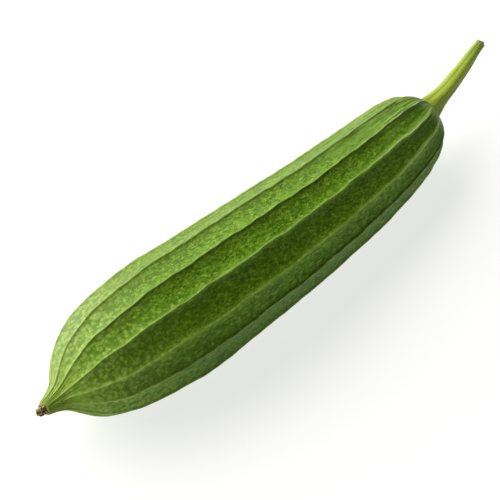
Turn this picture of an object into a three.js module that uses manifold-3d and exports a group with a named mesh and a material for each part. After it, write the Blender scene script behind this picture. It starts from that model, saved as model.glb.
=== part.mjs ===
// Ridge gourd (Luffa acutangula), picked and lying on its side. Millimetres, +Z up, +X from the
// blossom end to the stalk.
//
// The fruit is one solid: a long body with thirteen sharp ridges and a hollow flute between each
// pair, drawn in to a short neck at the blossom end and rounded to a shoulder at the stalk. The cut
// stalk and the withered flower are organs of their own, in line with it. All three are rings set
// square to one centre line. The fruit rests on its two lowest ridges, pressed flat where they touch.

import * as THREE from 'three';
import { mergeVertices } from 'three/addons/utils/BufferGeometryUtils.js';
import Module from 'manifold-3d';

// Places along the fruit are distances from the blossom end, measured along X.
const NECK_END = 3.2;
const STALK_JOIN = 249.8;
const JOINT_GAP = 0.3;          // clearance between the fruit and what grows from its ends

// Centre line, [x, y, z]: bowed a little to one side, lower where the fruit is thinner, and turned
// up at the stalk.
const CENTRE_LINE = [
  [-4, 0.6, 26.3], [30, -0.1, 26.9], [63, -2.6, 27.6], [101, -5.2, 27.3], [139, -6.3, 25.5],
  [177, -5.8, 23.3], [208, -3.9, 21.4], [233, -1.6, 21.6], [252, -0.2, 24.2], [268, 0.9, 28.0],
  [290, 2.8, 37.0],
];

// Radius over the ridges, [x, radius].
const CREST_RADIUS = [
  [3.2, 3.3], [8, 4.9], [12.5, 7.2], [17.5, 12.2], [22.5, 16.9], [29, 21.2], [38, 24.8],
  [51, 27.5], [70, 29.2], [88, 29.2], [112, 28.2], [142, 26.6], [172, 25.0], [198, 23.3],
  [218, 21.6], [232, 19.2], [241, 16.0], [245.5, 12.4], [248, 9.2], [249.8, 6.2],
];

// Depth of a wide flute as a share of the radius, [x, share]: fine ribs on the neck, lobes at the
// shoulder. Flutes narrower than WIDE_FLUTE degrees are shallower.
const FLUTE_DEPTH = [
  [3.2, 0.05], [15, 0.07], [40, 0.08], [120, 0.085], [215, 0.085], [238, 0.09], [249.8, 0.06],
];
const WIDE_FLUTE = 30;
const NARROWING_POWER = 1.5;

// Ridges round the fruit, in degrees from its top towards +Y, and how far each swings on the neck
// and over the shoulder.
const RIDGES = [
  { angle: 57, neck: 0, shoulder: 0 }, { angle: 84.5, neck: 3, shoulder: 3 },
  { angle: 112, neck: -3, shoulder: -2 }, { angle: 139, neck: 0, shoulder: 2 },
  { angle: 166.5, neck: 2, shoulder: 0 }, { angle: 193.5, neck: -2, shoulder: 0 },
  { angle: 219.5, neck: 3, shoulder: -2 }, { angle: 245, neck: 2, shoulder: 0 },
  { angle: 278, neck: 6, shoulder: 0 }, { angle: 302, neck: 10, shoulder: 3 },
  { angle: 332, neck: 0, shoulder: -6 }, { angle: 358, neck: 0, shoulder: -3 },
  { angle: 384, neck: 0, shoulder: 0 },
];
const NECK_SWING_LENGTH = 30;       // each swing has faded out this far from its end of the fruit
const SHOULDER_SWING_LENGTH = 45;
const ARRIS_SHARE = 0.3;        // part of a flute's depth that lies close beside its ridges
const ARRIS_POWER = 6;

// Cut stalk, flared where it joins the fruit, [x, radius].
const STALK_RADIUS = [
  [250.1, 6.0], [252.7, 5.3], [256.8, 4.6], [264, 4.0], [273, 3.5], [281, 3.0], [289, 2.1],
];
const STALK_RIBS = 5;
const STALK_RIB_TURN = -30;     // where its first rib stands, in degrees from the top
const STALK_RIB_HEIGHT = 0.04;  // as a share of the radius
const STALK_CUT_SLANT = 1.2;    // how far the cut end runs out on one side

// Withered flower, [x, radius].
const FLOWER_RADIUS = [[-1.0, 0.9], [0.2, 1.5], [1.6, 1.9], [2.9, 2.1]];
const FLOWER_LUMPS = 0.18;      // as a share of the radius
const FLOWER_SEED = 7;

// The surface that the fruit lies on is the top of a slab that is cut away from it.
const GROUND_SIZE = 400;
const GROUND_DEPTH = 20;

// Facets.
const STEPS_PER_FLUTE = 6;
const FRUIT_RINGS = 42;
const RING_CROWDING = 0.75;     // 0 spaces the rings evenly, 1 draws them hardest to the fruit's ends
const STALK_SIDES = 20;
const STALK_RINGS = 14;
const FLOWER_SIDES = 11;
const FLOWER_RINGS = 6;
const SLOPE_STEP = 0.5;         // the centre line's slope at a ring is taken this far to both sides

// A smooth curve through the points [x, value...]; column picks the value.
function along(points, x, column = 1) {
  const last = points.length - 1;
  let i = 0;
  while (i < last - 1 && x > points[i + 1][0]) i += 1;
  const slope = (k) => {
    const a = points[Math.max(k - 1, 0)];
    const b = points[Math.min(k + 1, last)];
    return (b[column] - a[column]) / (b[0] - a[0]);
  };
  const span = points[i + 1][0] - points[i][0];
  const t = (x - points[i][0]) / span;
  const rise = points[i + 1][column] - points[i][column];
  const start = span * slope(i);
  const end = span * slope(i + 1);
  return points[i][column] + t * (start + t * (3 * rise - 2 * start - end + t * (start + end - 2 * rise)));
}

function centre(x) {
  return new THREE.Vector3(x, along(CENTRE_LINE, x, 1), along(CENTRE_LINE, x, 2));
}

// The directions that a ring is drawn in: out to +Y and up, both square to the centre line.
function ringFrame(x) {
  const tangent = centre(x + SLOPE_STEP).sub(centre(x - SLOPE_STEP)).normalize();
  const side = new THREE.Vector3(0, 0, 1).cross(tangent).normalize();
  const up = tangent.clone().cross(side);
  return { tangent, side, up };
}

// One ring of points; section gives [angle in radians, radius] for each.
function ring(x, section) {
  const middle = centre(x);
  const { tangent, side, up } = ringFrame(x);
  return section.map(([angle, radius, shift = 0]) => middle.clone()
    .addScaledVector(side, radius * Math.sin(angle))
    .addScaledVector(up, radius * Math.cos(angle))
    .addScaledVector(tangent, shift));
}

// A closed skin over rings of equal size, with a flat fan over each end.
function skin(rings) {
  const sides = rings[0].length;
  const points = rings.flat();
  const faces = [];
  for (let i = 0; i < rings.length - 1; i += 1) {
    for (let j = 0; j < sides; j += 1) {
      const a = i * sides + j;
      const b = i * sides + ((j + 1) % sides);
      faces.push(a, b + sides, b);
      faces.push(a, a + sides, b + sides);
    }
  }
  const addFan = (ringIndex, outward) => {
    const middle = rings[ringIndex].reduce((sum, p) => sum.add(p), new THREE.Vector3());
    const hub = points.push(middle.divideScalar(sides)) - 1;
    for (let j = 0; j < sides; j += 1) {
      const a = ringIndex * sides + j;
      const b = ringIndex * sides + ((j + 1) % sides);
      faces.push(hub, outward ? b : a, outward ? a : b);
    }
  };
  addFan(0, false);
  addFan(rings.length - 1, true);
  const geometry = new THREE.BufferGeometry().setFromPoints(points);
  geometry.setIndex(faces);
  return geometry;
}

function toSolid(wasm, geometry) {
  const merged = mergeVertices(geometry);
  return new wasm.Manifold(new wasm.Mesh({
    numProp: 3,
    vertProperties: new Float32Array(merged.attributes.position.array),
    triVerts: new Uint32Array(merged.index.array),
  }));
}

function toGeometry(solid) {
  const mesh = solid.getMesh();
  const geometry = new THREE.BufferGeometry();
  geometry.setAttribute('position', new THREE.BufferAttribute(mesh.vertProperties, mesh.numProp));
  geometry.setIndex(new THREE.BufferAttribute(mesh.triVerts, 1));
  return geometry;
}

function ridgeAngle(ridge, x) {
  const onNeck = Math.max(0, 1 - (x - NECK_END) / NECK_SWING_LENGTH) ** 2;
  const onShoulder = Math.max(0, 1 - (STALK_JOIN - x) / SHOULDER_SWING_LENGTH);
  return THREE.MathUtils.degToRad(ridge.angle + ridge.neck * onNeck + ridge.shoulder * onShoulder);
}

// The fluted outline of the fruit at x: concave from each ridge to the next.
function flutedSection(x) {
  const crest = along(CREST_RADIUS, x);
  const wideDepth = crest * along(FLUTE_DEPTH, x);
  return RIDGES.flatMap((ridge, k) => {
    const turn = k + 1 < RIDGES.length ? 0 : 2 * Math.PI;
    const from = ridgeAngle(ridge, x);
    const to = ridgeAngle(RIDGES[(k + 1) % RIDGES.length], x) + turn;
    const wide = Math.min(1, (to - from) / THREE.MathUtils.degToRad(WIDE_FLUTE));
    const depth = wideDepth * wide ** NARROWING_POWER;
    return Array.from({ length: STEPS_PER_FLUTE }, (_, j) => {
      const share = j / STEPS_PER_FLUTE;
      const off = Math.abs(2 * share - 1);
      const rise = (1 - ARRIS_SHARE) * off ** 2 + ARRIS_SHARE * off ** ARRIS_POWER;
      return [from + (to - from) * share, crest - depth * (1 - rise)];
    });
  });
}

// Rings crowd towards both ends, where the radius changes fastest.
function fruitStations() {
  return Array.from({ length: FRUIT_RINGS }, (_, i) => {
    const share = i / (FRUIT_RINGS - 1);
    const eased = (1 - Math.cos(Math.PI * share)) / 2;
    const place = THREE.MathUtils.lerp(share, eased, RING_CROWDING);
    return THREE.MathUtils.lerp(NECK_END, STALK_JOIN, place);
  });
}

function makeFruit(wasm) {
  const body = toSolid(wasm, skin(fruitStations().map((x) => ring(x, flutedSection(x)))));
  const ground = new THREE.BoxGeometry(GROUND_SIZE, GROUND_SIZE, GROUND_DEPTH);
  ground.deleteAttribute('normal');
  ground.deleteAttribute('uv');
  ground.translate((NECK_END + STALK_JOIN) / 2, 0, -GROUND_DEPTH / 2);
  return toGeometry(body.subtract(toSolid(wasm, ground)));
}

function makeStalk() {
  const first = STALK_RADIUS[0][0];
  const last = STALK_RADIUS[STALK_RADIUS.length - 1][0];
  const ribTurn = THREE.MathUtils.degToRad(STALK_RIB_TURN);
  const rings = Array.from({ length: STALK_RINGS }, (_, i) => {
    const share = i / (STALK_RINGS - 1);
    const x = THREE.MathUtils.lerp(first, last, share);
    const radius = along(STALK_RADIUS, x);
    return ring(x, Array.from({ length: STALK_SIDES }, (_, j) => {
      const angle = 2 * Math.PI * j / STALK_SIDES;
      const slant = i === STALK_RINGS - 1 ? STALK_CUT_SLANT * (1 + Math.cos(angle)) / 2 : 0;
      const rib = Math.cos(STALK_RIBS * (angle - ribTurn));
      return [angle, radius * (1 + STALK_RIB_HEIGHT * rib), slant];
    }));
  });
  return skin(rings);
}

function makeFlower() {
  const random = seededRandom(FLOWER_SEED);
  const first = FLOWER_RADIUS[0][0];
  const last = NECK_END - JOINT_GAP;
  const rings = Array.from({ length: FLOWER_RINGS }, (_, i) => {
    const x = THREE.MathUtils.lerp(first, last, i / (FLOWER_RINGS - 1));
    const lumps = i < FLOWER_RINGS - 1 ? FLOWER_LUMPS : 0;
    return ring(x, Array.from({ length: FLOWER_SIDES }, (_, j) => [
      2 * Math.PI * j / FLOWER_SIDES,
      along(FLOWER_RADIUS, x) * (1 + lumps * (2 * random() - 1)),
    ]));
  });
  return skin(rings);
}

function seededRandom(seed) {
  let state = seed;
  return () => {
    state = (state * 16807) % 2147483647;
    return state / 2147483647;
  };
}

function named(name, geometry, colour, roughness) {
  const material = new THREE.MeshStandardMaterial({ color: colour, roughness, metalness: 0 });
  material.flatShading = true;
  const mesh = new THREE.Mesh(geometry, material);
  mesh.name = name;
  return mesh;
}

const wasm = await Module();
wasm.setup();

const gourd = new THREE.Group();
gourd.add(named('fruit', makeFruit(wasm), 0x55802a, 0.5));
gourd.add(named('stalk', makeStalk(), 0x9ab236, 0.55));
gourd.add(named('flower_remnant', makeFlower(), 0x5a3a22, 0.9));

// The frame's origin is under the middle of the whole, on the surface that it lies on.
const box = new THREE.Box3().setFromObject(gourd, true);
gourd.position.set(-(box.min.x + box.max.x) / 2, -(box.min.y + box.max.y) / 2, -box.min.z);

export default gourd;
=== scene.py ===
"""Ridge gourd: fine skin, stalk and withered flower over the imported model, lit as in a small studio.

The three pieces follow the same rules as the solids that they replace: rings set square to one
centre line, a fluted outline between thirteen ridges, and a flat where the lowest ridges touch the
surface. Shape is worked out in millimetres from the blossom end and moved to the frame at the end.
"""
import math

import bpy
import numpy as np
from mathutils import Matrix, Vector


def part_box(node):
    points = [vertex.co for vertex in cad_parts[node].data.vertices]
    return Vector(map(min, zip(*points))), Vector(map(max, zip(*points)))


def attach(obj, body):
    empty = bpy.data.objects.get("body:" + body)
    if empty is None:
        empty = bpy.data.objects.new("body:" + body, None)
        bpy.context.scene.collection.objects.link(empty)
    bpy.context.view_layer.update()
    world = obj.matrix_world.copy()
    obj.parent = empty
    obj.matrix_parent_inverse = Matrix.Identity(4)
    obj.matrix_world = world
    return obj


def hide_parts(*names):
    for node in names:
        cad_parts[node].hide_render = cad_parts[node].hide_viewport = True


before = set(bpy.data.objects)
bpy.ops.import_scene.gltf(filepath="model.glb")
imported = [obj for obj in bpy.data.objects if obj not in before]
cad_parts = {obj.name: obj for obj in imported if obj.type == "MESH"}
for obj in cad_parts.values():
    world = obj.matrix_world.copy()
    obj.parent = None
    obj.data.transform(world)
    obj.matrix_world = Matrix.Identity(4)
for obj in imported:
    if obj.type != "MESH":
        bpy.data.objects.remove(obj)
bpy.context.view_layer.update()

MM = 0.001

# ---------------------------------------------------------------- the fruit's driving dimensions
NECK_END = 3.2
STALK_JOIN = 249.8
CENTRE_LINE = [
    [-4, 0.6, 26.3], [30, -0.1, 26.9], [63, -2.6, 27.6], [101, -5.2, 27.3], [139, -6.3, 25.5],
    [177, -5.8, 23.3], [208, -3.9, 21.4], [233, -1.6, 21.6], [252, -0.2, 24.2], [268, 0.9, 28.0],
    [290, 2.8, 37.0],
]
CREST_RADIUS = [
    [3.2, 3.3], [8, 4.9], [12.5, 7.2], [17.5, 12.2], [22.5, 16.9], [29, 21.2], [38, 24.8],
    [51, 27.5], [70, 29.2], [88, 29.2], [112, 28.2], [142, 26.6], [172, 25.0], [198, 23.3],
    [218, 21.6], [232, 19.2], [241, 16.0], [245.5, 12.4], [248, 9.2], [249.8, 6.2],
]
FLUTE_DEPTH = [
    [3.2, 0.05], [15, 0.07], [40, 0.08], [120, 0.085], [215, 0.085], [238, 0.09], [249.8, 0.06],
]
# Ridges: degrees from the top towards +Y, and how far each swings on the neck and on the shoulder.
RIDGES = [
    (57, 0, 0), (84.5, 3, 3), (112, -3, -2), (139, 0, 2), (166.5, 2, 0), (193.5, -2, 0),
    (219.5, 3, -2), (245, 2, 0), (278, 6, 0), (302, 10, 3), (332, 0, -6), (358, 0, -3), (384, 0, 0),
]
NECK_SWING_LENGTH = 30
SHOULDER_SWING_LENGTH = 45
WIDE_FLUTE = math.radians(30.0)           # a flute narrower than this is shallower
NARROWING_POWER = 1.5
ARRIS_SHARE = 0.3
ARRIS_POWER = 6
# Finer forms that the scene adds, in millimetres.
KEEL_HEIGHT = 0.30
KEEL_WIDTH = 0.45
GROOVE_DEPTH = 0.07
GROOVE_PLACE = 0.95                       # from the ridge
RIDGE_WANDER = [(34.0, 0.22, 0.08), (15.0, 0.16, 0.06), (7.0, 0.06, 0.04)]   # wavelength, sideways, up
RIDGE_WANDER_SEED = 11
RIDGE_WANDER_STRETCH = (0.8, 1.25)        # how much the wavelength differs between ridges
NICK_POWER = 6                            # keeps the nicks to the ridge's edge
MINOR_RIB_COUNTS = (31, 37, 43, 53)
MINOR_RIB_DRIFTS = [(0.9, 14), (0.8, 4.5)]                                   # turn, length
NECK_RIB_HEIGHT = 0.11
BODY_RIB_HEIGHT = 0.07
SHOULDER_RIB_HEIGHT = 0.18
GREEN_RIB_SHARE = 0.35                    # of that height, in the deep green flutes
# Uneven relief: its seed, the size of its grain, its height, and how many waves make a coarse one.
FEW_WAVES = 24
BLISTERS = [(3, 4.6, 0.065), (4, 2.8, 0.06)]
BODY_SWELL = (5, 60.0, 0.22, FEW_WAVES)
# Stretches of the fruit, in millimetres from the blossom end, over which a form comes in.
BODY_AFTER_NECK = (6, 28)
BODY_BEFORE_STALK = (252, 236)
KEEL_AFTER_TIP = (3, 18)
NECK_RIBS = (38, 8)
BODY_RIBS = (170, 205)
SHOULDER_RIBS = (215, 240)
RIDGE_SIDE_RIBS = (218, 240)
TONED_AFTER_NECK = (20, 90)
TONED_BEFORE_STALK = (246, 205)
# Skin between a ridge and the next one: how pale it is, and its brightness along its middle.
# Both are partly the skin's own tone and partly painted light and shade: the flutes that face the light are
# painted paler, and each flute's brightness is painted to match the light that falls on it.
FLUTE_TONES_AND_PAINTED_LIGHT = [
    (0.9, 1.0), (0.7, 1.0), (0.6, 1.0), (0.5, 1.0), (0.5, 1.0), (0.4, 0.95), (0.2, 0.80),
    (0.0, 0.72), (0.0, 1.12), (0.0, 1.08), (0.15, 0.92), (0.5, 0.97), (1.0, 1.0),
]

# ---------------------------------------------------------------- the stalk, in millimetres
STALK_RADIUS = [
    [250.1, 6.0], [252.7, 5.3], [256.8, 4.6], [264, 4.0], [273, 3.5], [281, 3.0], [289, 2.1],
]
STALK_SUNK = 1.2                          # how deep its foot stands in the fruit
STALK_RIBS = 5
STALK_RIB_TURN = math.radians(-30.0)      # where its first rib stands, from the top
STALK_RIB_HEIGHT = 0.035                  # as a share of the radius
STALK_TWIST = 0.25
STALK_FINE_RIBS = [(13, 0.6, 1.3, 0.0), (22, 0.4, 0.4, 3.0)]                 # count, share, start, drift
STALK_FINE_RIB_HEIGHT = 0.01
STALK_SWELL = (21, 16.0, 0.10, FEW_WAVES)
STALK_LUMPS = (22, 4.0, 0.05)
STALK_LUMP_STRETCH = (0.35, 1, 1)
STALK_CUT_SLANT = 1.2
STALK_CUT_FROM = 0.93                     # share of the length where the cut's slant begins
STALK_CUT_HOLLOW = -0.6
STALK_TEARS = (23, 1.6, 0.35)

# ---------------------------------------------------------------- the withered flower, in millimetres
FLOWER_RADIUS = [[-1.0, 0.9], [0.2, 1.5], [1.6, 1.9], [2.9, 2.1]]
FLOWER_SUNK = 1.0
FLOWER_FOLDS = [(31, 1.9, 0.17), (32, 0.8, 0.10)]
FLOWER_TIP_BULGE = 0.4
FLOWER_SHARDS = 7
SHARD_SEED = 37
SHARD_SPREAD = 0.3                        # how far each strays from its even place round the knob
SHARD_LENGTH = (1.2, 2.2)
SHARD_WIDTH = (0.45, 0.8)
SHARD_THICKNESS = 0.12                    # from its middle to its face
SHARD_CURL = (0.3, 1.0)
SHARD_CURL_TURN = 2.2                     # of the most curled one, in radians
SHARD_LIFT = 0.9
SHARD_REACH = (0.7, 1.0)                  # share of its length that runs along the fruit
SHARD_SLANT = 0.5                         # turn round the knob from foot to tip, in radians
SHARD_TIP = 0.02                          # square of the share of its width left at the tip
SHARD_FOOT = (1.6, 1.5)                   # along the fruit, and out from its middle

# ---------------------------------------------------------------- how fine the meshes are
STEPS_PER_FLUTE = 24
STEP_CROWDING = 0.55                      # towards the ridges
FRUIT_RINGS = 310
RING_CROWDING = 0.45                      # towards both ends
STALK_SIDES = 96
STALK_RINGS = 150
KNOB_SIDES = 80
KNOB_RINGS = 50
SHARD_SIDES = 10
SHARD_RINGS = 12

# ---------------------------------------------------------------- camera and light
CAMERA_ELEVATION = math.radians(50.0)
CAMERA_AZIMUTH = math.radians(46.07)      # how far the view turns from +Y towards +X
CAMERA_DISTANCE = 1.35
FOCAL_PIXELS = 3000.0
IMAGE_PIXELS = 500.0
SENSOR_MM = 36.0
AIM_MM = (126.7, 0.0, 20.0)               # in the shape's own millimetres
AIM_RIGHT_MM = 2.3
AIM_UP_MM = 4.5
SOFTBOX_AZIMUTH = math.radians(-20.0)     # from +Y towards +X
SOFTBOX_ELEVATION = math.radians(36.0)
SOFTBOX_DISTANCE = 2.4
SOFTBOX_SIZE = (4.0, 3.0)
SOFTBOX_POWER = 186.0
SOFTBOX_COLOUR = (1.0, 0.965, 0.91)
FLOOR_HALF_SIZE = 4.0
FLOOR_GLOW = 0.76
ROOM_LIGHT = 0.02


def along(points, x, column=1):
    """A smooth curve through the points (x, value...), evaluated for an array of x."""
    points = np.asarray(points, float)
    x = np.asarray(x, float)
    last = len(points) - 1
    i = np.clip(np.searchsorted(points[:, 0], x, side="left") - 1, 0, last - 1)

    def slope(k):
        a = points[np.maximum(k - 1, 0)]
        b = points[np.minimum(k + 1, last)]
        return (b[..., column] - a[..., column]) / (b[..., 0] - a[..., 0])

    span = points[i + 1, 0] - points[i, 0]
    t = (x - points[i, 0]) / span
    rise = points[i + 1, column] - points[i, column]
    start = span * slope(i)
    end = span * slope(i + 1)
    return points[i, column] + t * (start + t * (3 * rise - 2 * start - end + t * (start + end - 2 * rise)))


def centre(x):
    return np.stack([x, along(CENTRE_LINE, x, 1), along(CENTRE_LINE, x, 2)], -1)


def ring_frames(x):
    """Middle, +Y side, up and tangent directions of the rings at x."""
    step = 0.5                            # millimetres
    tangent = centre(x + step) - centre(x - step)
    tangent /= np.linalg.norm(tangent, axis=-1, keepdims=True)
    side = np.cross([0.0, 0.0, 1.0], tangent)
    side /= np.linalg.norm(side, axis=-1, keepdims=True)
    return centre(x), side, np.cross(tangent, side), tangent


def rings(x, angle, radius, shift=0.0):
    """Points of rings at x (n), with angle and radius (n, sides)."""
    middle, side, up, tangent = ring_frames(x)
    shift = np.broadcast_to(shift, radius.shape)
    return (middle[:, None] + (radius * np.sin(angle))[..., None] * side[:, None]
            + (radius * np.cos(angle))[..., None] * up[:, None] + shift[..., None] * tangent[:, None])


def smoothstep(low, high, value):
    t = np.clip((value - low) / (high - low), 0, 1)
    return t * t * (3 - 2 * t)


def relief(place, seed, grain, height, count=48):
    """Noise of one grain size and height over the points, a sum of waves in seeded directions."""
    random = np.random.default_rng(seed)
    direction = random.normal(size=(count, 3))
    direction /= np.linalg.norm(direction, axis=1, keepdims=True)
    spread = 0.35
    length = grain * (1 + spread * random.uniform(-1, 1, (count, 1)))
    phase = random.uniform(0, 2 * math.pi, count)
    total = np.zeros(place.shape[:-1])
    for wave, start in zip(2 * math.pi * direction / length, phase):
        total += np.sin(place @ wave + start)
    return total * math.sqrt(2 / count) * height


# ---------------------------------------------------------------- meshes

def shell_faces(ring_count, sides, first):
    """Quads over rings of equal size and a fan of triangles on each end, from vertex number first."""
    i = np.arange(ring_count - 1)[:, None] * sides
    j = np.arange(sides)
    k = (j + 1) % sides
    quads = np.stack([i + j, i + sides + j, i + sides + k, i + k], -1).reshape(-1, 4)
    hub = ring_count * sides
    start_fan = np.stack([np.full(sides, hub), j, k], -1)
    end_fan = np.stack([np.full(sides, hub + 1), hub - sides + k, hub - sides + j], -1)
    return [face for part in (quads, start_fan, end_fan) for face in (part + first).tolist()]


def shell_points(shell):
    """The points of a shell's rings, and after them the middles of its two ends."""
    points = shell["points"]
    middles = points.mean(1)
    for end, inner, bulge in ((0, 1, shell["bulge"][0]), (-1, -2, shell["bulge"][1])):
        out = middles[end] - middles[inner]
        middles[end] += bulge * out / np.linalg.norm(out)
    return np.concatenate([points.reshape(-1, 3), middles[[0, -1]]])


def shell_marks(values):
    """Point attributes in the order of shell_points."""
    ends = np.stack([values[0].mean(0), values[-1].mean(0)])
    return np.concatenate([values.reshape(-1, 3), ends])


def closed_piece(name, shells, material):
    """One mesh of closed shells. A shell is rings of points (n, sides, 3), with bulge, how far the
    middles of its two ends stand out, and point attributes of the same shape as the points."""
    vertices, faces = [], []
    for shell in shells:
        faces += shell_faces(*shell["points"].shape[:2], sum(map(len, vertices)))
        vertices.append(shell_points(shell))
    mesh = bpy.data.meshes.new(name)
    mesh.from_pydata((np.concatenate(vertices) * MM + ORIGIN_SHIFT).tolist(), [], faces)
    for key in shells[0]["marks"]:
        values = np.concatenate([shell_marks(shell["marks"][key]) for shell in shells])
        layer = mesh.attributes.new(key, "FLOAT_VECTOR", "POINT")
        layer.data.foreach_set("vector", values.astype(np.float32).ravel())
    mesh.shade_smooth()
    mesh.materials.append(material)
    piece = bpy.data.objects.new(name, mesh)
    bpy.context.scene.collection.objects.link(piece)
    return piece


def dress(piece, node):
    """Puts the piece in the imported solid's place."""
    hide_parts(node)
    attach(piece, "root")


def fruit_grid():
    """Where the rings stand, the angles of each ridge and of the one after it on every ring, and the
    steps across a flute, from 0 at its ridge to 1 at the next."""
    share = np.linspace(0, 1, FRUIT_RINGS)
    eased = (1 - np.cos(np.pi * share)) / 2
    crowded = (1 - RING_CROWDING) * share + RING_CROWDING * eased
    x = NECK_END + (STALK_JOIN - NECK_END) * crowded
    step = np.arange(STEPS_PER_FLUTE) / STEPS_PER_FLUTE
    across = step - STEP_CROWDING * np.sin(2 * np.pi * step) / (2 * np.pi)
    on_neck = np.maximum(0, 1 - (x - NECK_END) / NECK_SWING_LENGTH) ** 2
    on_shoulder = np.maximum(0, 1 - (STALK_JOIN - x) / SHOULDER_SWING_LENGTH)
    ridge = np.radians(np.stack([angle + neck * on_neck + shoulder * on_shoulder
                                 for angle, neck, shoulder in RIDGES], 1))
    following = np.concatenate([ridge[:, 1:], ridge[:, :1] + 2 * np.pi], 1)
    return x, ridge, following, across


def flute_rise(across):
    """0 in the middle of a flute and 1 at its ridges."""
    off = np.abs(2 * across - 1)
    return (1 - ARRIS_SHARE) * off ** 2 + ARRIS_SHARE * off ** ARRIS_POWER


def plain_fruit():
    """The fruit's rings with the driving dimensions alone."""
    x, ridge, following, across = fruit_grid()
    angle = (ridge[..., None] + (following - ridge)[..., None] * across).reshape(len(x), -1)
    crest = along(CREST_RADIUS, x)[:, None]
    wide = np.minimum(1, np.repeat((following - ridge) / WIDE_FLUTE, STEPS_PER_FLUTE, axis=1))
    depth = crest * along(FLUTE_DEPTH, x)[:, None] * wide ** NARROWING_POWER
    radius = crest - depth * (1 - np.tile(flute_rise(across), len(RIDGES)))
    return x, angle, radius


def origin_shift():
    """Where the shape's millimetres sit in the frame: the fruit's box has the CAD fruit's middle."""
    x, angle, radius = plain_fruit()
    points = rings(x, angle, radius).reshape(-1, 3) * MM
    low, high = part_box("fruit")
    middle = (points.min(0) + points.max(0)) / 2
    return np.array([(low.x + high.x) / 2 - middle[0], (low.y + high.y) / 2 - middle[1], 0.0])


ORIGIN_SHIFT = origin_shift()


def straightened(x, angle, radius):
    """The surface laid out about a straight axis, so that patterns follow the fruit."""
    x = np.broadcast_to(x[:, None], radius.shape)
    return np.stack([x, radius * np.cos(angle), radius * np.sin(angle)], -1)


def wandering_ridges(x, random):
    """How far each ridge strays sideways and stands proud at x, in millimetres."""
    flutes = len(RIDGES)
    sway = np.zeros((len(x), flutes))
    nick = np.zeros((len(x), flutes))
    for grain, sway_mm, nick_mm in RIDGE_WANDER:
        phase = random.uniform(0, 2 * np.pi, (2, flutes))
        stretch = random.uniform(*RIDGE_WANDER_STRETCH, (2, flutes))
        sway += sway_mm * np.sin(2 * np.pi * x[:, None] * stretch[0] / grain + phase[0])
        nick += nick_mm * np.sin(2 * np.pi * x[:, None] * stretch[1] / grain + phase[1])
    return sway, nick


def minor_ribs(x, angle, random):
    """Irregular fine ribs that run lengthwise."""
    total = np.zeros(angle.shape)
    for count in MINOR_RIB_COUNTS:
        start, *phases = random.uniform(0, 2 * np.pi, 3)
        drift = sum(turn * np.sin(x / length + phase)
                    for (turn, length), phase in zip(MINOR_RIB_DRIFTS, phases))
        total += np.cos(count * angle + start + drift[:, None])
    return total / math.sqrt(len(MINOR_RIB_COUNTS))


def on_body(x):
    """1 on the body and 0 at both ends, where its unevenness has faded out."""
    return smoothstep(*BODY_AFTER_NECK, x)[:, None] * smoothstep(*BODY_BEFORE_STALK, x)[:, None]


def uneven_ridges(x, across, angle, radius, random):
    """Ridges wander a little to each side and are nicked along their edge."""
    sway, nick = wandering_ridges(x, random)
    this = smoothstep(0.5, 0.0, across)
    other = smoothstep(0.5, 1.0, across)
    push = sway[..., None] * this + np.roll(sway, -1, 1)[..., None] * other
    lift = nick[..., None] * this ** NICK_POWER + np.roll(nick, -1, 1)[..., None] * other ** NICK_POWER
    angle = angle + push.reshape(angle.shape) * on_body(x) / along(CREST_RADIUS, x)[:, None]
    radius = radius + lift.reshape(angle.shape) * on_body(x)
    return angle, radius


def ridge_keel(x, ridge, following, across):
    """A thin raised keel along each ridge, with a shallow groove on both of its sides."""
    width = (following - ridge)[..., None] * along(CREST_RADIUS, x)[:, None, None]
    from_ridge = (width * np.minimum(across, 1 - across)).reshape(len(x), -1)
    keel = KEEL_HEIGHT * np.exp(-(from_ridge / KEEL_WIDTH) ** 2)
    groove = GROOVE_DEPTH * np.exp(-((from_ridge - GROOVE_PLACE) / KEEL_WIDTH) ** 2)
    return (keel - groove) * smoothstep(*KEEL_AFTER_TIP, x)[:, None]


def minor_rib_height(x, off, pale):
    """The fine ribs stand on the neck and over the shoulder, highest in pale flutes and by ridges."""
    on_neck = NECK_RIB_HEIGHT * smoothstep(*NECK_RIBS, x)
    on_shoulder = BODY_RIB_HEIGHT * smoothstep(*BODY_RIBS, x)
    on_shoulder = on_shoulder + SHOULDER_RIB_HEIGHT * smoothstep(*SHOULDER_RIBS, x)
    by_ridge = smoothstep(0.4, 0.8, off) * smoothstep(*RIDGE_SIDE_RIBS, x)[:, None]
    ribbed = np.maximum(smoothstep(0.0, 0.4, pale), by_ridge)
    share = GREEN_RIB_SHARE + (1 - GREEN_RIB_SHARE) * ribbed
    return on_neck[:, None] + on_shoulder[:, None] * share


def skin_relief(x, lay, off):
    """Blisters in the flutes, fading towards the ridges, and soft swells that keep the body from
    looking turned."""
    hollow = 1 - smoothstep(0.6, 0.95, off)
    blisters = sum(relief(lay, *blister) for blister in BLISTERS)
    return blisters * hollow * on_body(x) + relief(lay, *BODY_SWELL) * on_body(x)


def fruit_marks(x, angle, lay, off, pale, bright, ribs):
    """What the skin's material reads at each point."""
    zero = np.zeros(angle.shape)
    length_share = ((x - NECK_END) / (STALK_JOIN - NECK_END))[:, None] + zero
    # The flutes' brightness, partly painted light and shade, comes in only away from both ends.
    toned = (smoothstep(*TONED_AFTER_NECK, x) * smoothstep(*TONED_BEFORE_STALK, x))[:, None]
    bright = 1 + (bright - 1) * toned
    return {
        "lay": lay * MM,
        "place": np.stack([length_share, off + zero, zero], -1),
        "turn": np.stack([np.cos(angle), np.sin(angle), length_share], -1),
        "tone": np.stack([pale + zero, bright, ribs], -1),
    }


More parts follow.
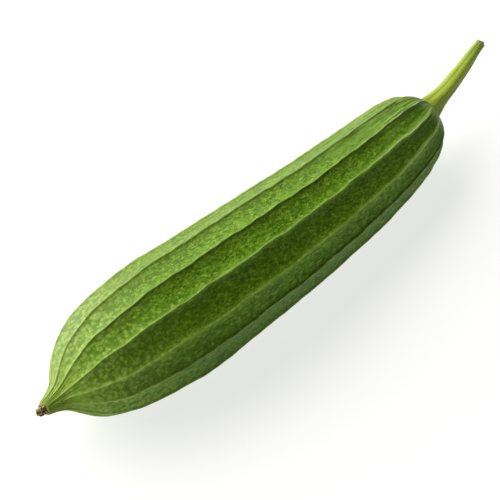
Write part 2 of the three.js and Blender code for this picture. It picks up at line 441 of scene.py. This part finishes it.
def make_fruit():
    x, ridge, following, across = fruit_grid()
    _, angle, radius = plain_fruit()
    off = np.abs(2 * np.tile(across, len(RIDGES)) - 1)
    lay = straightened(x, angle, radius)
    # Paleness and brightness of each flute, partly the skin's own tone and partly painted light and shade.
    pale, bright = np.repeat(FLUTE_TONES_AND_PAINTED_LIGHT, STEPS_PER_FLUTE, axis=0).T
    random = np.random.default_rng(RIDGE_WANDER_SEED)

    angle, radius = uneven_ridges(x, across, angle, radius, random)
    radius = radius + ridge_keel(x, ridge, following, across)
    ribs = minor_ribs(x, angle, random)
    radius = radius + ribs * minor_rib_height(x, off, pale)
    radius = radius + skin_relief(x, lay, off)

    # Nothing goes below the surface that the fruit lies on, so its lowest ridges are pressed flat.
    points = rings(x, angle, radius)
    points[..., 2] = np.maximum(points[..., 2], 0.0)
    marks = fruit_marks(x, angle, lay, off, pale, bright, ribs)
    shell = {"points": points, "bulge": (0.0, 0.0), "marks": marks}
    dress(closed_piece("fruit_skin", [shell], skin_material()), "fruit")


def whole_turn(ring_count, sides):
    """The same even angles for every ring."""
    return np.linspace(0, 2 * np.pi, sides, endpoint=False) * np.ones((ring_count, 1))


def make_stalk():
    start, end = STALK_RADIUS[0][0] - STALK_SUNK, STALK_RADIUS[-1][0]
    x = np.linspace(start, end, STALK_RINGS)
    angle = whole_turn(STALK_RINGS, STALK_SIDES)
    share = ((x - start) / (end - start))[:, None] * np.ones(angle.shape)
    radius = along(STALK_RADIUS, np.maximum(x, STALK_RADIUS[0][0]))[:, None] * np.ones(angle.shape)
    lay = straightened(x, angle, radius)
    turned = angle - STALK_RIB_TURN + STALK_TWIST * share
    ribs = np.cos(STALK_RIBS * turned)
    fine = sum(part * np.cos(count * turned + first + drift * share)
               for count, part, first, drift in STALK_FINE_RIBS)
    swell = relief(lay, *STALK_SWELL) + relief(lay * STALK_LUMP_STRETCH, *STALK_LUMPS)
    radius = radius * (1 + STALK_RIB_HEIGHT * ribs + STALK_FINE_RIB_HEIGHT * fine) + swell
    cut = relief(lay, *STALK_TEARS) + STALK_CUT_SLANT * (1 + np.cos(angle)) / 2
    points = rings(x, angle, radius, cut * smoothstep(STALK_CUT_FROM, 1.0, share))
    marks = {
        "lay": lay * MM,
        "place": np.stack([share, 0.5 + 0.5 * ribs, 0 * share], -1),
        "turn": np.stack([np.cos(turned), np.sin(turned), share], -1),
        "bearing": np.stack([np.cos(angle), np.sin(angle), 0 * share], -1),
    }
    shell = {"points": points, "bulge": (0.0, STALK_CUT_HOLLOW), "marks": marks}
    dress(closed_piece("stalk_stem", [shell], stalk_material()), "stalk")


def flower_knob():
    start, end = FLOWER_RADIUS[0][0], FLOWER_RADIUS[-1][0]
    x = np.linspace(start, end + FLOWER_SUNK, KNOB_RINGS)
    angle = whole_turn(KNOB_RINGS, KNOB_SIDES)
    radius = along(FLOWER_RADIUS, np.minimum(x, end))[:, None] * np.ones(angle.shape)
    lay = straightened(x, angle, radius)
    radius = radius * (1 + sum(relief(lay, *fold) for fold in FLOWER_FOLDS))
    points = rings(x, angle, radius)
    return {"points": points, "bulge": (FLOWER_TIP_BULGE, 0.0), "marks": {"lay": lay * MM}}


def flower_shard(random, turn):
    """A dry scrap of petal: a flat tapered strip that curls away from the knob."""
    length, width = random.uniform(*SHARD_LENGTH), random.uniform(*SHARD_WIDTH)
    share = np.linspace(0, 1, SHARD_RINGS)
    curl = random.uniform(*SHARD_CURL)
    foot, foot_radius = SHARD_FOOT
    x = foot - share * length * random.uniform(*SHARD_REACH)
    out = foot_radius + SHARD_LIFT * np.sin(share * SHARD_CURL_TURN * curl) * length / 2
    taper = np.sqrt(np.clip(1 - share ** 2, SHARD_TIP, 1))
    corner = np.linspace(0, 2 * np.pi, SHARD_SIDES, endpoint=False)
    spread = width / 2 * np.cos(corner)[None] * taper[:, None]
    thick = SHARD_THICKNESS * np.sin(corner)[None] * taper[:, None]
    radius = out[:, None] + thick
    angle = turn + spread / out[:, None] + SHARD_SLANT * share[:, None] * random.uniform(-1, 1)
    lay = straightened(x, angle, radius)
    return {"points": rings(x, angle, radius), "bulge": (0.0, 0.0), "marks": {"lay": lay * MM}}


def make_flower():
    random = np.random.default_rng(SHARD_SEED)
    turns = np.linspace(0, 2 * np.pi, FLOWER_SHARDS, endpoint=False)
    turns = turns + random.uniform(-SHARD_SPREAD, SHARD_SPREAD, FLOWER_SHARDS)
    shells = [flower_knob()] + [flower_shard(random, turn) for turn in turns]
    dress(closed_piece("withered_flower", shells, flower_material()), "flower_remnant")


# ---------------------------------------------------------------- materials

class Shader:
    """Builds one node material; a socket is set from a number, a colour or another node's output."""

    def __init__(self, name):
        self.material = bpy.data.materials.new(name)
        self.material.use_nodes = True
        self.tree = self.material.node_tree
        self.tree.nodes.clear()

    def add(self, kind, inputs=None, **settings):
        node = self.tree.nodes.new("ShaderNode" + kind)
        for key, value in settings.items():
            setattr(node, key, value)
        for key, value in (inputs or {}).items():
            socket = node.inputs[key]
            if isinstance(value, bpy.types.NodeSocket):
                self.tree.links.new(value, socket)
            else:
                socket.default_value = value
        return node

    def attribute(self, name):
        return self.add("Attribute", attribute_name=name).outputs["Vector"]

    def part(self, vector, axis):
        return self.add("SeparateXYZ", {0: vector}).outputs[axis]

    def stretch(self, vector, scale):
        return self.add("Mapping", {"Vector": vector, "Scale": scale}).outputs[0]

    def noise(self, vector, scale, detail=2.0, rough=0.5, distort=0.0):
        return self.add("TexNoise", {"Vector": vector, "Scale": scale, "Detail": detail,
                                     "Roughness": rough, "Distortion": distort}).outputs["Fac"]

    def fade(self, value, low, high, to_low=0.0, to_high=1.0):
        """Smooth step: to_low where the value is at low, and to_high where it is at high."""
        return self.add("MapRange", {"Value": value, "From Min": low, "From Max": high,
                                     "To Min": to_low, "To Max": to_high},
                        interpolation_type="SMOOTHSTEP").outputs[0]

    def maths(self, operation, a, b=0.0):
        return self.add("Math", {0: a, 1: b}, operation=operation).outputs[0]

    def times(self, a, b):
        return self.maths("MULTIPLY", a, b)

    def larger(self, a, b):
        return self.maths("MAXIMUM", a, b)

    def mix(self, factor, a, b):
        """Colour a where factor is 0 and colour b where it is 1."""
        node = self.add("Mix", data_type="RGBA")
        for index, value in ((0, factor), (6, a), (7, b)):
            socket = node.inputs[index]
            if isinstance(value, bpy.types.NodeSocket):
                self.tree.links.new(value, socket)
            elif index == 0:
                socket.default_value = value
            else:
                socket.default_value = (*value, 1.0)
        return node.outputs[2]

    def bent(self, vector, scale, waver):
        """The vector pushed about, so that a pattern laid on it has no straight lines."""
        bend = self.add("TexNoise", {"Vector": vector, "Scale": scale, "Detail": 2.0}).outputs["Color"]
        return self.add("VectorMath", {0: bend, 1: (waver,) * 3, 2: vector},
                        operation="MULTIPLY_ADD").outputs[0]

    def pebbles(self, vector, scale, waver):
        """Rounded grains: 1 in the middle of a grain and 0 between them."""
        reach = self.add("TexVoronoi", {"Vector": self.bent(vector, scale, waver), "Scale": scale,
                                        "Smoothness": 0.35}, feature="SMOOTH_F1").outputs["Distance"]
        return self.fade(reach, 0.15, 0.75, 1.0, 0.0)

    def bump(self, height, strength, distance, normal=None):
        inputs = {"Height": height, "Strength": strength, "Distance": distance}
        if normal is not None:
            inputs["Normal"] = normal
        return self.add("Bump", inputs).outputs[0]

    def finish(self, colour, roughness, normal, **constants):
        surface = self.add("BsdfPrincipled", {"Base Color": colour, "Roughness": roughness,
                                              "Normal": normal})
        for key, value in constants.items():
            surface.inputs[key.replace("_", " ")].default_value = value
        self.add("OutputMaterial", {"Surface": surface.outputs[0]})
        return self.material


# Skin colours.
PATCH_DARK = (0.072, 0.192, 0.004)
PATCH_LIGHT = (0.114, 0.258, 0.007)
MOTTLE_LIGHT = (0.180, 0.358, 0.016)
MOTTLE_DARK = (0.055, 0.140, 0.002)
PEBBLE_LIGHT = (0.190, 0.365, 0.024)
GRAIN_LIGHT = (0.275, 0.485, 0.044)
GRAIN_DARK = (0.050, 0.110, 0.002)
PLAIN_GREEN = (0.092, 0.218, 0.009)
BLOSSOM_GREEN = (0.270, 0.420, 0.062)
BLOSSOM_TOP = (0.360, 0.500, 0.140)
BLOSSOM_WHITISH = (0.400, 0.500, 0.280)
BLOSSOM_GAP = (0.082, 0.180, 0.006)
NECK_YELLOW = (0.300, 0.390, 0.060)
NECK_TIP = (0.400, 0.420, 0.140)
STALK_END_DEEP = (0.062, 0.176, 0.003)
STALK_END_BAND = (0.200, 0.340, 0.036)
SHOULDER_STREAK = (0.208, 0.372, 0.050)
SHOULDER_RIB = (0.255, 0.410, 0.085)
COLLAR = (0.260, 0.400, 0.085)
ARRIS = (0.310, 0.460, 0.120)
ARRIS_WHITISH = (0.420, 0.540, 0.210)
SCUFF = (0.330, 0.300, 0.070)
PAINTED_SHEEN = (0.250, 0.230, 0.150)


class Skin(Shader):
    """The fruit's skin: what its mesh carries, and the patterns that colour and bump share."""

    def __init__(self):
        super().__init__("gourd_skin")
        self.lay = self.attribute("lay")
        self.turn = self.attribute("turn")
        place = self.attribute("place")
        tone = self.attribute("tone")
        self.length_share = self.part(place, 0)      # 0 at the blossom end and 1 at the stalk
        self.off = self.part(place, 1)               # 0 in the middle of a flute and 1 on a ridge
        # Paleness and brightness of each flute, partly painted light and shade by which way the flute
        # faces.
        self.pale = self.part(tone, 0)
        self.bright = self.part(tone, 1)
        self.rib = self.part(tone, 2)
        self.deep_green = self.fade(self.pale, 0.12, 0.0)
        self.blossom_half = self.fade(self.length_share, 0.50, 0.12)
        self.stalk_half = self.fade(self.length_share, 0.62, 0.92)

        drawn_out = self.stretch(self.lay, (0.5, 1.0, 1.0))
        self.patches = self.noise(self.lay, 120.0, detail=3.0, rough=0.55, distort=0.5)
        self.mottle = self.noise(drawn_out, 320.0, detail=3.0, rough=0.6, distort=0.9)
        self.grain = self.noise(drawn_out, 1050.0, detail=3.0, rough=0.65, distort=0.9)
        self.pebble = self.pebbles(self.lay, 460.0, waver=0.0022)
        self.streaks = self.lengthwise((14.0, 14.0, 14.0), detail=3.0, rough=0.6, distort=1.0)

    def lengthwise(self, scale, detail, rough, distort=0.0):
        """Streaks that run along the fruit and follow its ridges."""
        return self.noise(self.stretch(self.turn, scale), 1.0, detail, rough, distort)


def flute_colour(s):
    """Mottled and grained green."""
    colour = s.mix(s.fade(s.patches, 0.36, 0.64), PATCH_DARK, PATCH_LIGHT)
    colour = s.mix(s.fade(s.mottle, 0.50, 0.66, to_high=0.55), colour, MOTTLE_LIGHT)
    colour = s.mix(s.fade(s.mottle, 0.45, 0.30, to_high=0.50), colour, MOTTLE_DARK)
    pebbled = s.times(s.fade(s.pebble, 0.45, 0.80, to_high=0.5), s.fade(s.blossom_half, 0, 1, 0.35, 1.0))
    colour = s.mix(pebbled, colour, PEBBLE_LIGHT)
    colour = s.mix(s.fade(s.grain, 0.52, 0.61, to_high=0.85), colour, GRAIN_LIGHT)
    colour = s.mix(s.fade(s.grain, 0.47, 0.37, to_high=0.85), colour, GRAIN_DARK)
    # The deep green flutes are a little plainer than the pale ones, and the plainest by the stalk.
    by_stalk = s.times(s.fade(s.length_share, 0.84, 0.96, to_high=0.6), s.fade(s.pale, 0.4, 0.1))
    return s.mix(s.larger(s.times(s.deep_green, 0.10), by_stalk), colour, PLAIN_GREEN)


def with_blossom_end(s, colour):
    """The blossom end is paler, most on its ridges, and its neck is yellow with fine streaks."""
    blossom = s.times(s.fade(s.length_share, 0.30, 0.05), s.fade(s.off, 0.0, 0.9, 0.35, 0.75))
    colour = s.mix(blossom, colour, BLOSSOM_GREEN)
    tops = s.times(blossom, s.fade(s.pebble, 0.55, 0.90, to_high=0.7))
    colour = s.mix(tops, colour, BLOSSOM_TOP)
    # Whitish on the pale flutes: partly paler skin and partly painted light where these flutes face the
    # light.
    whitish = s.times(blossom, s.fade(s.pale, 0.1, 1.0, to_high=0.40))
    colour = s.mix(whitish, colour, BLOSSOM_WHITISH)
    gaps = s.times(s.fade(s.pebble, 0.32, 0.10, to_high=0.65), s.blossom_half)
    gaps = s.times(gaps, s.fade(s.length_share, 0.02, 0.10))
    colour = s.mix(gaps, colour, BLOSSOM_GAP)
    streaks = s.lengthwise((8.0, 8.0, 5.0), detail=2.0, rough=0.6)
    neck = s.times(s.fade(s.length_share, 0.10, 0.0), s.fade(streaks, 0.42, 0.58, 0.05, 0.9))
    colour = s.mix(neck, colour, NECK_YELLOW)
    return s.mix(s.fade(s.length_share, 0.004, 0.0), colour, NECK_TIP)


def with_stalk_end(s, colour):
    """Towards the stalk the flutes are deeper green and the ridges pale, with pale streaks between."""
    deep = s.times(s.fade(s.length_share, 0.60, 0.82, 0.05, 0.5), s.fade(s.pale, 0.0, 0.5))
    colour = s.mix(deep, colour, STALK_END_DEEP)
    band = s.times(s.fade(s.stalk_half, 0.0, 1.0, 0.25, 0.6), s.fade(s.off, 0.55, 0.92))
    colour = s.mix(band, colour, STALK_END_BAND)
    ribbed = s.times(s.stalk_half, s.fade(s.pale, 0.0, 0.4, 0.35, 1.0))
    streaked = s.times(ribbed, s.fade(s.streaks, 0.50, 0.60, to_high=0.75))
    colour = s.mix(streaked, colour, SHOULDER_STREAK)
    on_ribs = s.times(ribbed, s.fade(s.rib, 0.2, 1.4, to_high=0.8))
    colour = s.mix(on_ribs, colour, SHOULDER_RIB)
    return s.mix(s.fade(s.length_share, 0.955, 0.992), colour, COLLAR)


def with_arris(s, colour):
    """A thin pale line along each arris, with a few yellow-brown scuffs."""
    edge = s.times(s.fade(s.off, 0.925, 0.975), s.fade(s.streaks, 0.38, 0.62, 0.30, 0.85))
    edge = s.larger(edge, s.times(s.fade(s.off, 0.90, 0.95), s.stalk_half))
    colour = s.mix(edge, colour, ARRIS)
    # Near the stalk the arris is whitish, with a fainter line beside it.
    beside = s.times(s.fade(s.off, 0.70, 0.78), s.fade(s.off, 0.88, 0.82, to_high=0.35))
    lines = s.larger(s.fade(s.off, 0.93, 0.97, to_high=0.65), beside)
    lines = s.times(lines, s.fade(s.length_share, 0.80, 0.93))
    colour = s.mix(lines, colour, ARRIS_WHITISH)
    scuff = s.times(s.fade(s.off, 0.90, 0.97), s.fade(s.noise(s.lay, 240.0), 0.69, 0.74))
    return s.mix(scuff, colour, SCUFF)


def with_flute_tone_and_painted_light(s, colour):
    """Each flute's colour is scaled by its brightness and whitened most on the palest flutes: partly the
    skin's own tone, partly painted light and shade, with a painted sheen on the flutes that face the light.
    """
    colour = s.add("HueSaturation", {"Value": s.bright, "Color": colour}).outputs[0]
    # Painted sheen, thickest on the pale flutes that face the light.
    return s.mix(s.fade(s.pale, 0.0, 1.0, to_high=0.22), colour, PAINTED_SHEEN)


def skin_bump(s):
    """Blisters and grain all over, pebbles on the blossom half, and streaks towards both ends."""
    blister = s.maths("SUBTRACT", s.mottle, 0.5)
    blister = s.times(blister, s.fade(s.deep_green, 0.0, 1.0, 1.0, 0.75))
    normal = s.bump(blister, 0.30, 0.0006)
    normal = s.bump(s.times(s.pebble, s.blossom_half), 0.50, 0.0003, normal)
    normal = s.bump(s.grain, 0.35, 0.0003, normal)
    ends = s.maths("ADD", s.fade(s.length_share, 0.14, 0.01), s.stalk_half)
    normal = s.bump(s.times(s.streaks, ends), 0.5, 0.0010, normal)
    fine_streaks = s.lengthwise((26.0, 26.0, 16.0), detail=3.0, rough=0.65)
    return s.bump(s.times(fine_streaks, ends), 0.4, 0.0004, normal)


def skin_material():
    s = Skin()
    colour = flute_colour(s)
    for with_more in (with_blossom_end, with_stalk_end, with_arris, with_flute_tone_and_painted_light):
        colour = with_more(s, colour)
    roughness = s.fade(s.mottle, 0.3, 0.7, 0.42, 0.54)
    return s.finish(colour, roughness, skin_bump(s), Specular_IOR_Level=0.08, Subsurface_Weight=0.13,
                    Subsurface_Scale=0.002, Subsurface_Radius=(0.5, 1.0, 0.12))


# Stalk colours.
STEM_GREEN = (0.240, 0.335, 0.020)
STEM_YELLOW = (0.290, 0.385, 0.034)
STEM_RIB = (0.350, 0.430, 0.070)
STEM_STREAK = (0.190, 0.280, 0.012)
STEM_SPECK = (0.340, 0.410, 0.060)
STEM_FOOT = (0.150, 0.235, 0.045)
STEM_UPPER = (0.160, 0.215, 0.022)
STEM_PAINTED_LIGHT = (0.400, 0.520, 0.048)
STEM_CUT = (0.230, 0.250, 0.070)
STEM_DARK_SIDE = (-0.5, -0.85, 0.0)       # how far it faces up, and towards +Y


def stalk_material():
    s = Shader("stalk_rind")
    lay = s.attribute("lay")
    turn = s.attribute("turn")
    place = s.attribute("place")
    share = s.part(place, 0)
    rib = s.part(place, 1)
    streaks = s.noise(s.stretch(turn, (3.5, 3.5, 1.6)), 1.0, detail=2.0, rough=0.6)
    fine = s.noise(s.stretch(turn, (5.0, 5.0, 1.8)), 1.0, detail=1.0, rough=0.6)
    speck = s.noise(lay, 700.0)
    colour = s.mix(s.fade(streaks, 0.34, 0.66), STEM_GREEN, STEM_YELLOW)
    colour = s.mix(s.fade(rib, 0.4, 1.0, to_high=0.4), colour, STEM_RIB)
    colour = s.mix(s.fade(fine, 0.52, 0.66, to_high=0.4), colour, STEM_STREAK)
    colour = s.mix(s.fade(speck, 0.55, 0.70, to_high=0.1), colour, STEM_SPECK)
    colour = s.mix(s.fade(share, 0.16, 0.02, to_high=0.7), colour, STEM_FOOT)
    colour = s.mix(s.fade(share, 0.60, 0.90, to_high=0.3), colour, STEM_UPPER)
    # Painted light: the stalk is painted paler between its shaded side and the one opposite, by place round
    # it.
    flank = s.add("VectorMath", {0: s.attribute("bearing"), 1: STEM_DARK_SIDE},
                  operation="DOT_PRODUCT").outputs["Value"]
    pale = s.times(s.fade(flank, -0.75, -0.1), s.fade(flank, 0.95, 0.3, to_high=0.9))
    pale = s.times(pale, s.fade(share, 0.95, 0.55, 0.45, 1.0))
    colour = s.mix(pale, colour, STEM_PAINTED_LIGHT)
    colour = s.mix(s.fade(share, 0.95, 0.995), colour, STEM_CUT)
    roughness = s.fade(speck, 0.3, 0.7, 0.45, 0.60)
    normal = s.bump(streaks, 0.15, 0.0003)
    normal = s.bump(fine, 0.12, 0.0002, normal)
    return s.finish(colour, roughness, normal, Specular_IOR_Level=0.3, Subsurface_Weight=0.30,
                    Subsurface_Scale=0.004, Subsurface_Radius=(1.0, 1.0, 0.5))


# Colours of the withered flower.
HUSK_BROWN = (0.060, 0.042, 0.008)
HUSK_TIP = (0.060, 0.018, 0.020)
HUSK_OLIVE = (0.230, 0.190, 0.035)
HUSK_EDGE = (0.620, 0.560, 0.260)


def flower_material():
    s = Shader("flower_husk")
    lay = s.attribute("lay")
    patches = s.noise(lay, 900.0, detail=3.0, rough=0.6, distort=0.8)
    crumbs = s.noise(lay, 1700.0, detail=3.0, rough=0.6)
    tip = s.fade(s.part(lay, 0), 0.0016, 0.0)
    dark = s.mix(tip, HUSK_BROWN, HUSK_TIP)
    colour = s.mix(s.fade(patches, 0.44, 0.60), dark, HUSK_OLIVE)
    colour = s.mix(s.fade(crumbs, 0.52, 0.58, to_high=0.9), colour, HUSK_EDGE)
    roughness = s.fade(patches, 0.3, 0.7, 0.75, 0.95)
    normal = s.bump(crumbs, 0.6, 0.0004)
    return s.finish(colour, roughness, normal, Specular_IOR_Level=0.25)


FLOOR_DARK = (0.28, 0.28, 0.28)
FLOOR_LIGHT = (0.30, 0.30, 0.30)


def floor_material():
    s = Shader("pale_floor")
    place = s.add("NewGeometry").outputs["Position"]
    tone = s.noise(place, 3.0, detail=3.0)
    colour = s.mix(s.fade(tone, 0.3, 0.7), FLOOR_DARK, FLOOR_LIGHT)
    normal = s.bump(s.noise(place, 400.0), 0.02, 0.0005)
    return s.finish(colour, s.fade(tone, 0.3, 0.7, 0.75, 0.8), normal, Specular_IOR_Level=0.1,
                    Emission_Color=(0.99, 1.0, 0.98, 1.0), Emission_Strength=FLOOR_GLOW)


# ---------------------------------------------------------------- studio

def to_frame(point_mm):
    return Vector((np.asarray(point_mm, float) * MM + ORIGIN_SHIFT).tolist())


def add_camera():
    view = Vector((math.cos(CAMERA_ELEVATION) * math.sin(CAMERA_AZIMUTH),
                   math.cos(CAMERA_ELEVATION) * math.cos(CAMERA_AZIMUTH),
                   -math.sin(CAMERA_ELEVATION)))
    right = Vector((math.cos(CAMERA_AZIMUTH), -math.sin(CAMERA_AZIMUTH), 0.0))
    up = right.cross(view)
    aim = to_frame(AIM_MM) + right * AIM_RIGHT_MM * MM + up * AIM_UP_MM * MM
    data = bpy.data.cameras.new("camera")
    data.sensor_width = SENSOR_MM
    data.lens = SENSOR_MM * FOCAL_PIXELS / IMAGE_PIXELS
    camera = bpy.data.objects.new("camera", data)
    camera.location = aim - view * CAMERA_DISTANCE
    camera.rotation_euler = view.to_track_quat("-Z", "Y").to_euler()
    bpy.context.scene.collection.objects.link(camera)
    bpy.context.scene.camera = camera


def add_floor():
    size = FLOOR_HALF_SIZE
    mesh = bpy.data.meshes.new("floor")
    corners = [(-size, -size, 0), (size, -size, 0), (size, size, 0), (-size, size, 0)]
    mesh.from_pydata(corners, [], [(0, 1, 2, 3)])
    floor = bpy.data.objects.new("floor", mesh)
    bpy.context.scene.collection.objects.link(floor)
    mesh.materials.append(floor_material())


def add_softbox():
    """A wide soft light above the part."""
    data = bpy.data.lights.new("softbox", "AREA")
    data.shape = "RECTANGLE"
    data.size, data.size_y = SOFTBOX_SIZE
    data.energy = SOFTBOX_POWER
    data.color = SOFTBOX_COLOUR
    light = bpy.data.objects.new("softbox", data)
    flat = math.cos(SOFTBOX_ELEVATION) * SOFTBOX_DISTANCE
    light.location = (flat * math.sin(SOFTBOX_AZIMUTH), flat * math.cos(SOFTBOX_AZIMUTH),
                      math.sin(SOFTBOX_ELEVATION) * SOFTBOX_DISTANCE)
    light.rotation_euler = (-light.location).to_track_quat("-Z", "Y").to_euler()
    light.visible_camera = False
    bpy.context.scene.collection.objects.link(light)


def add_world():
    """A dim room round a white backdrop, which only the camera sees."""
    world = bpy.data.worlds.new("studio")
    world.use_nodes = True
    tree = world.node_tree
    seen = tree.nodes.new("ShaderNodeLightPath").outputs["Is Camera Ray"]
    strength = tree.nodes.new("ShaderNodeMapRange")
    strength.inputs["To Min"].default_value = ROOM_LIGHT
    tree.links.new(seen, strength.inputs["Value"])
    tree.links.new(strength.outputs[0], tree.nodes["Background"].inputs["Strength"])
    tree.nodes["Background"].inputs["Color"].default_value = (1.0, 1.0, 1.0, 1.0)
    bpy.context.scene.world = world


def light_scene():
    add_world()
    add_softbox()
    settings = bpy.context.scene.view_settings
    settings.view_transform = "Standard"
    settings.look = "None"
    settings.exposure = 0.0


add_camera()
add_floor()
light_scene()
make_fruit()
make_stalk()
make_flower()

bpy.context.view_layer.update()
